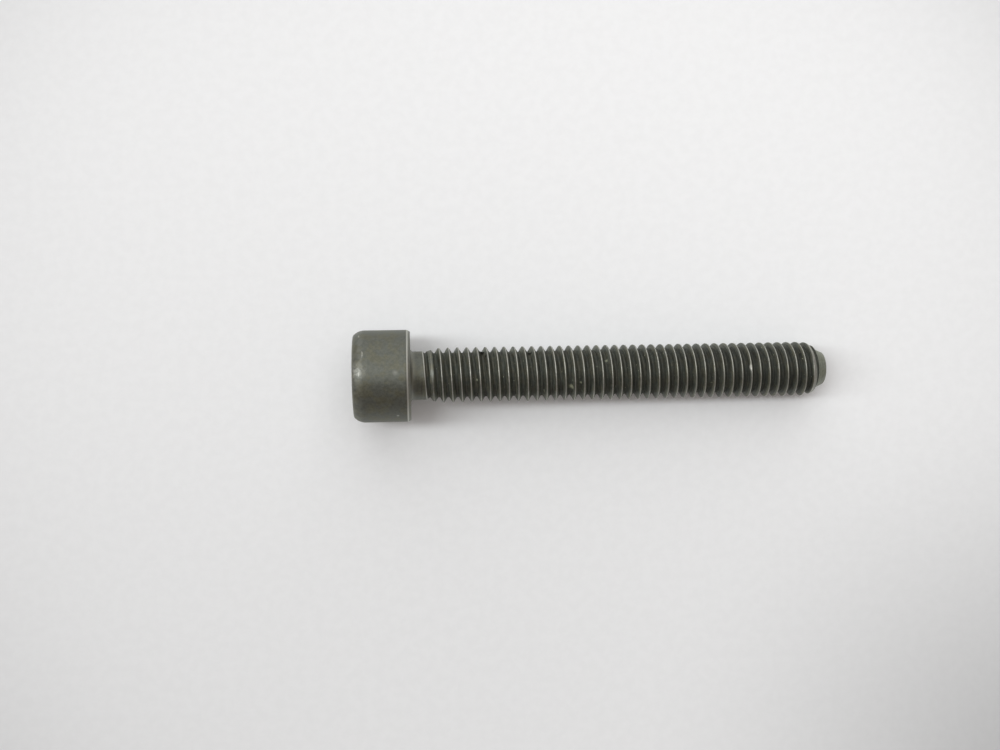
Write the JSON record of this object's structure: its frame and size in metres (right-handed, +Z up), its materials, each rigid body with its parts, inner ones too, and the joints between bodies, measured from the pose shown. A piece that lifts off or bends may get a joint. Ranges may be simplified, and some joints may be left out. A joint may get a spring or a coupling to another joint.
{
  "type": "hexalobular socket cap screw",
  "caption": "Dark oxide steel cap screw with a cylindrical head, a six-lobed drive socket and a fully threaded shank with a tapered point, lying on its side.",
  "frame": {"origin": "on the ground, below the middle of the screw's length and width as it lies", "axes": "+X from the head towards the point, level with the ground; +Z up. The screw's own axis slopes down towards the point by 2.6 degrees, in the XZ plane"},
  "size_m": [0.0512, 0.0098, 0.01],
  "materials": {
    "oxide_steel": "black oxide, satin, lightly worn"
  },
  "bodies": {
    "root": {"screw": "oxide_steel"}
  },
  "joints": []
}
